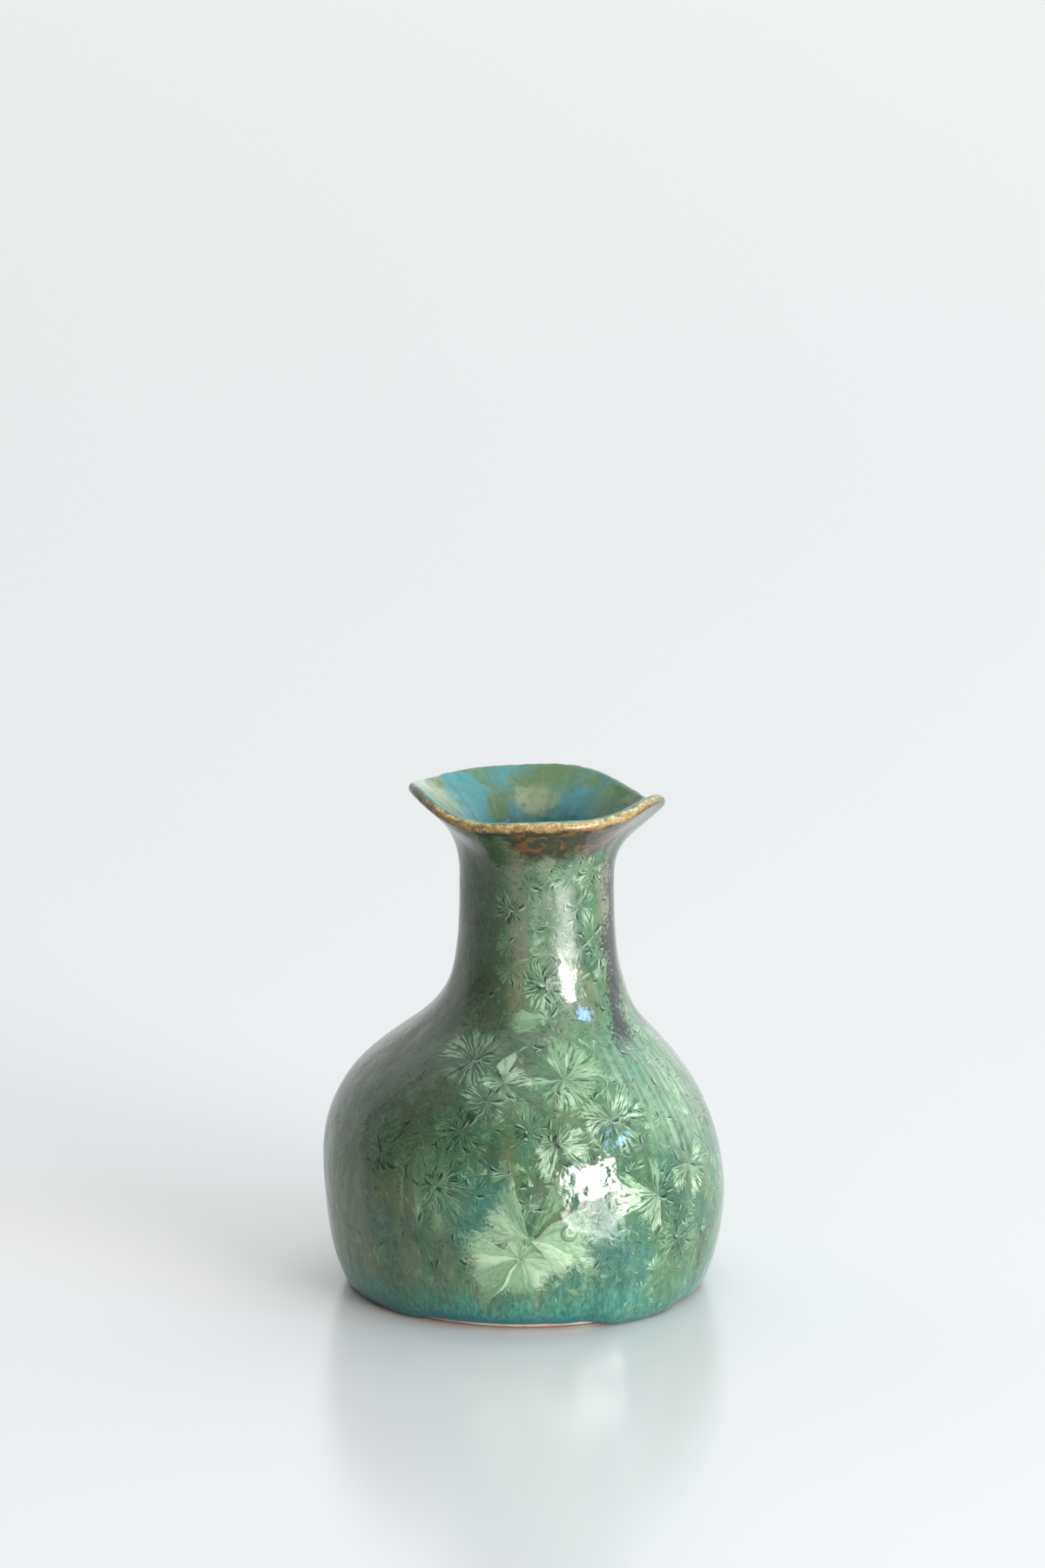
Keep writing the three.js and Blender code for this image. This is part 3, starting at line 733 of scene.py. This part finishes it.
    # Dark run down the right of the neck.
    path = kiln["runTurn"] + kiln["runSwing"] * bench.rise(z, 54, 72)
    beside = (turn - path + warp.vector("DOT_PRODUCT", (26.0, 0.0, 0.0))).maths("ABSOLUTE") * 0.3
    broken = (bench.noise(spot, 0.8, 3.0) - 0.5) * 13 + (bench.noise(runny, 4.0, 1.0) - 0.5) * 5
    run = 1 - bench.rise(beside + broken + bench.rise(z, 74, 80) * 0.6, 1.6, 3.0)
    run = run * bench.rise(z, 53, 57) * (1 - bench.rise(z, 96, 101))
    skin = bench.blend(run * 0.88, skin, c["plum"])

    # Lining: turquoise with moss and cream spots, darker runs down the wall, and painted shade deeper down
    # the neck.
    mottle = bench.noise(spot, 2.2, 3.0)
    lining = bench.blend(bench.rise(bench.noise(soft, 7.0, 3.0), 0.36, 0.66), c["turquoise"], c["moss"])
    for place, reach, name, share in liningSpots:
        away = soft.vector("DISTANCE", place) / reach
        lining = bench.blend((1 - bench.rise(away + mottle - 0.5, 0.45, 1.1)) * share, lining, c[name])
    runs = level.vector("SCALE", 11.0).vector("ADD", spot.vector("MULTIPLY", (0.0, 0.0, 0.05)))
    runs = bench.noise(runs, 1.0, 3.0)
    lining = bench.blend(bench.rise(runs, 0.52, 0.7) * 0.4, lining, c["lagoon"])
    lining = bench.blend((1 - bench.rise(runs, 0.3, 0.46)) * 0.16, lining, c["cream"])
    crack = 1 - bench.rise((bench.noise(soft, 2.8, 3.0) - 0.5).maths("ABSOLUTE"), 0.0, 0.02)
    lining = bench.blend(crack * 0.4, lining, c["lagoon"])
    lining = bench.blend(bench.rise(mottle, 0.55, 0.72) * 0.35, lining, c["deep"])
    # painted shade: the lining turns dark lagoon deeper down the neck
    lining = bench.blend(1 - bench.rise(z, 76, 92), lining, c["lagoon"])
    skin = bench.blend(1 - bench.rise(pastLip, -1.4, -0.4), skin, lining)

    # Lip: a thin gold edge, broad where it faces the viewer's right, over dark and brown runs.
    grains = bench.noise(spot, 0.55, 2.0)
    wavy = bench.noise(spot, 3.0, 3.0) - 0.5
    bright = bench.rise(toward(8), -0.1, 0.8)
    browned = bench.rise(toward(32) + wavy * 0.15, 0.66, 0.9)
    below = pastLip + wavy * 2.2
    drip = pastLip + (bench.noise(runny, 2.2, 2.0) - 0.5) * 10
    charred = 1 - bench.rise(drip, 2.0 + 8 * browned, 4.5 + 10.5 * browned)
    charred = charred * bench.rise(pastLip, 0.2, 0.8)
    rusted = bench.rise(bench.noise(spot, 2.0, 3.0), 0.47, 0.6) * (1 - bench.rise(pastLip, 8, 13))
    brown = bench.blend(rusted, c["umber"], c["rust"])
    skin = bench.blend(charred * 0.85, skin, bench.blend(browned, c["bronze"], brown))
    golden = bench.rise(below, -1.0, -0.3) * (1 - bench.rise(below - 0.9 * bright, 0.4, 1.1))
    goldTone = bench.blend(bench.rise(grains, 0.42, 0.72) * 0.85, c["gold"], c["ochre"])
    goldTone = bench.blend(bench.rise(bench.noise(spot, 1.7, 2.0), 0.5, 0.62) * 0.5, goldTone, c["bronze"])
    goldTone = bench.blend(bench.rise(below, 0.1, 0.9) * 0.4, goldTone, c["rust"])
    goldTone = bench.blend((1 - bright) * 0.85, goldTone, c["bronze"])
    skin = bench.blend(golden * (0.45 + 0.5 * bright), skin, goldTone)

    # Fine relief: ripples of the coat, less on the neck, needles, lip grains and pinholes.
    ripple = sum(bench.noise(spot, size, detail) * height for size, detail, height in kiln["ripples"])
    ripple = ripple * (1 - 0.45 * onNeck)
    relief = (ripple + large["body"] * 0.014 + small["body"] * 0.008
              + large["shade"] * large["inside"] * 0.01 + golden * (grains - 0.5) * 0.1 - pin * 0.05)
    bump = bench.add("ShaderNodeBump", None,
                     {"Strength": 1.0, "Distance": millimetre, "Height": relief})
    roughness = kiln["roughness"] + 0.07 * large["body"] + 0.07 * paintedLeftReflection + 0.2 * golden
    shader = bench.add("ShaderNodeBsdfPrincipled", None,
                       {"Base Color": skin, "Roughness": roughness, "Normal": bump,
                        "IOR": kiln["refraction"]})
    bench.add("ShaderNodeOutputMaterial", None, {"Surface": shader})
    return material


clayTints = {"pale": "#d3b7a3", "tan": "#c09a82", "grog": "#7d5a43"}


def bareClay():
    material, bench = newMaterial("bareClay")
    spot = bench.add("ShaderNodeTexCoord").beside("Object").vector("SCALE", 1 / millimetre)
    grog = bench.noise(spot, 0.7, 3.0)
    clouds = bench.rise(bench.noise(spot, 8.0, 3.0), 0.35, 0.65)
    tone = bench.blend(clouds, tint(clayTints["pale"]), tint(clayTints["tan"]))
    tone = bench.blend(bench.rise(grog, 0.62, 0.72), tone, tint(clayTints["grog"]))
    x, y, _ = bench.parts(spot)
    arcs = bench.pack(x, y + 60, 0.0).vector("LENGTH")
    wireCut = (arcs * 2.2 + bench.noise(spot, 14.0, 2.0) * 9).maths("SINE")
    bump = bench.add("ShaderNodeBump", None,
                     {"Strength": 0.5, "Distance": 0.2 * millimetre, "Height": grog + wireCut * 0.25})
    shader = bench.add("ShaderNodeBsdfPrincipled", None,
                       {"Base Color": tone, "Roughness": 0.85, "Normal": bump})
    bench.add("ShaderNodeOutputMaterial", None, {"Surface": shader})
    return material


glazeMaterial = kilnGlaze()
clayMaterial = bareClay()
print("materials ready")


# Millimetres from row to row along the profiles.
rowStep = {"face": 0.62, "back": 6.0, "lip": 0.3, "lining": 1.0, "heel": 0.5}
bandStart = lipAlong - form["rimBand"]


def alongWhere(depth, height):    # where one side of the wall stands at a height
    low, high = 0.0, lipAlong
    while high - low > 1e-6:
        middle = (low + high) / 2
        if surfacePoint(middle, depth)[1] < height:
            low = middle
        else:
            high = middle
    return low


def crystalCoatRows():
    start = alongAt(form["bareHeel"])
    return (faceRows(start, bandStart, glazeFace, rowStep["face"])
            + faceRows(bandStart, start, glazeBack, rowStep["back"], 0.0)
            + edgeRows(start, 5))


def goldenLipRows():
    return (faceRows(bandStart, lipAlong, glazeFace, rowStep["lip"])
            + capRows(0.0, 9)
            + faceRows(lipAlong, bandStart, liningFace, rowStep["lip"], 1.0, True)
            + faceRows(bandStart, lipAlong, liningBack, rowStep["back"], 0.0, True)
            + capRows(form["glaze"], 4, 0.0)[::-1]
            + faceRows(lipAlong, bandStart, glazeBack, rowStep["back"], 0.0))


def floorRows(along, outset, count, shown):    # down the inside corner and over the floor to the axis
    corner = form["insideCorner"]
    radius = corner + outset
    centre = surfacePoint(along, liningFace) - np.array([corner, 0])
    rows = [(centre[0] + radius * math.cos(turn), centre[1] - radius * math.sin(turn), -lipAlong, shown)
            for turn in np.linspace(0, math.pi / 2, count)[1:]]
    edge = rows[-1]
    return rows + [(edge[0] * share, edge[1], -lipAlong, shown) for share in np.linspace(1, 0, count)[1:]]


def liningRows():
    floor = form["floorThickness"] + form["coatGap"] + form["glaze"]
    start = alongWhere(liningFace, floor + form["insideCorner"])
    return (floorRows(start, form["glaze"], 6, 0.0)[::-1]
            + faceRows(start, bandStart, liningBack, rowStep["back"], 0.0, True)
            + faceRows(bandStart, start, liningFace, rowStep["lining"], 1.0, True)
            + floorRows(start, 0.0, 16, 1.0))


def bareFootRows():
    top = alongWhere(clayFace, form["floorThickness"])
    rounding = form["heelRounding"]
    flat = surfacePoint(0.0, clayFace)[0] - rounding    # radius of the part that stands on the table
    under = [(flat * share, 0.0, lipAlong, 0.0) for share in np.linspace(0, 1, 12)]
    start = alongWhere(clayFace, rounding)
    wall = faceRows(start, top, clayFace, rowStep["heel"], 0.0)
    heel = [(flat + (wall[0][0] - flat) * math.sin(turn),
             rounding * (1 - math.cos(turn)), lipAlong, 0.0)
            for turn in np.linspace(0, math.pi / 2, 6)[1:-1]]
    over = [(wall[-1][0] * share, wall[-1][1], lipAlong, 0.0) for share in np.linspace(1, 0, 4)[1:]]
    return under + heel + wall + over


def makePiece(name, rows, material, closed, nodes):
    piece = turnedPiece(name, rows, material, closed)
    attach(piece, "root")
    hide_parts(*nodes)


makePiece("crystalCoat", crystalCoatRows(), glazeMaterial, True,
          ["outer_glaze", "foot_glaze_run"])
makePiece("goldenLip", goldenLipRows(), glazeMaterial, True, ["rim_glaze"])
makePiece("lining", liningRows(), glazeMaterial, False, ["inner_glaze"])
makePiece("bareFoot", bareFootRows(), clayMaterial, False, ["base_slab"])
for name in ("belly_wall", "shoulder_wall", "neck_wall", "flared_rim"):
    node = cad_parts[name]
    node.data.materials.clear()
    node.data.materials.append(clayMaterial)
print("pieces ready")


# The camera's place from the foot's centre in millimetres, and degrees downwards.
cameraStand = {"aside": -0.64, "back": 1231.64, "up": 383.61, "down": 12.685, "lens": 140, "sensor": 36}


def setCamera():
    lens = bpy.data.cameras.new("camera")
    lens.lens = cameraStand["lens"]
    lens.sensor_width = cameraStand["sensor"]
    eye = bpy.data.objects.new("camera", lens)
    eye.location = Vector((cameraStand["aside"], -cameraStand["back"], cameraStand["up"])) * millimetre
    eye.rotation_euler = (math.radians(90 - cameraStand["down"]), 0, 0)
    bpy.context.scene.collection.objects.link(eye)
    bpy.context.scene.camera = eye


# Half its side and how far it lies below the foot, in metres.
floorSheet = {"half": 6.0, "drop": 0.0002, "colour": "#d3d3d1", "roughness": 0.2}


def setFloor():
    half, drop = floorSheet["half"], floorSheet["drop"]
    sheet = bpy.data.meshes.new("floor")
    corners = [(-half, -half, -drop), (half, -half, -drop), (half, half, -drop), (-half, half, -drop)]
    sheet.from_pydata(corners, [], [(0, 1, 2, 3)])
    floor = bpy.data.objects.new("floor", sheet)
    material, bench = newMaterial("paleFloor")
    shader = bench.add("ShaderNodeBsdfPrincipled", None,
                       {"Base Color": tint(floorSheet["colour"]), "Roughness": floorSheet["roughness"]})
    bench.add("ShaderNodeOutputMaterial", None, {"Surface": shader})
    sheet.materials.append(material)
    bpy.context.scene.collection.objects.link(floor)


# Each light: degrees round to the viewer's right and up, metres away, width and height in metres,
# watts, and tint.
lights = {
    "window": {"turn": 42, "rise": 8.5, "away": 1.6, "size": (0.74, 0.5), "power": 33, "tint": "#fffdfa"},
    "sky": {"turn": 66, "rise": 25, "away": 1.6, "size": (0.4, 0.26), "power": 7, "tint": "#8fc6ff"},
    "ceiling": {"turn": 10, "rise": 80, "away": 1.6, "size": (1.6, 1.2), "power": 4, "tint": "#ffffff"},
}


def setLights():
    middle = Vector((0, 0, 50)) * millimetre
    for name, light in lights.items():
        lamp = bpy.data.lights.new(name, "AREA")
        lamp.shape = "RECTANGLE"
        lamp.size, lamp.size_y = light["size"]
        lamp.energy = light["power"]
        lamp.color = tint(light["tint"])[:3]
        turn, rise = math.radians(light["turn"]), math.radians(light["rise"])
        way = Vector((math.sin(turn) * math.cos(rise), -math.cos(turn) * math.cos(rise), math.sin(rise)))
        stand = bpy.data.objects.new(name, lamp)
        stand.location = middle + way * light["away"]
        stand.rotation_euler = way.to_track_quat("Z", "Y").to_euler()
        bpy.context.scene.collection.objects.link(stand)


def setRoom():    # pale all round, brighter on the window's side and at the back
    world = bpy.data.worlds.new("room")
    world.use_nodes = True
    bench = Bench(world.node_tree)
    x, y, z = bench.parts(bench.add("ShaderNodeTexCoord").beside("Generated"))
    bright = (0.2 + 0.6 * bench.rise(x, -0.4, 0.9) + 0.85 * bench.rise(y, -0.1, 0.5)
              + 0.3 * bench.rise(z, 0.4, 1.0))
    shade = bench.add("ShaderNodeBackground", None, {"Color": (0.97, 0.99, 1, 1), "Strength": bright})
    bench.add("ShaderNodeOutputWorld", None, {"Surface": shade})
    bpy.context.scene.world = world


setCamera()
setFloor()
setLights()
setRoom()
bpy.context.scene.view_settings.view_transform = "Standard"
print("stage ready")
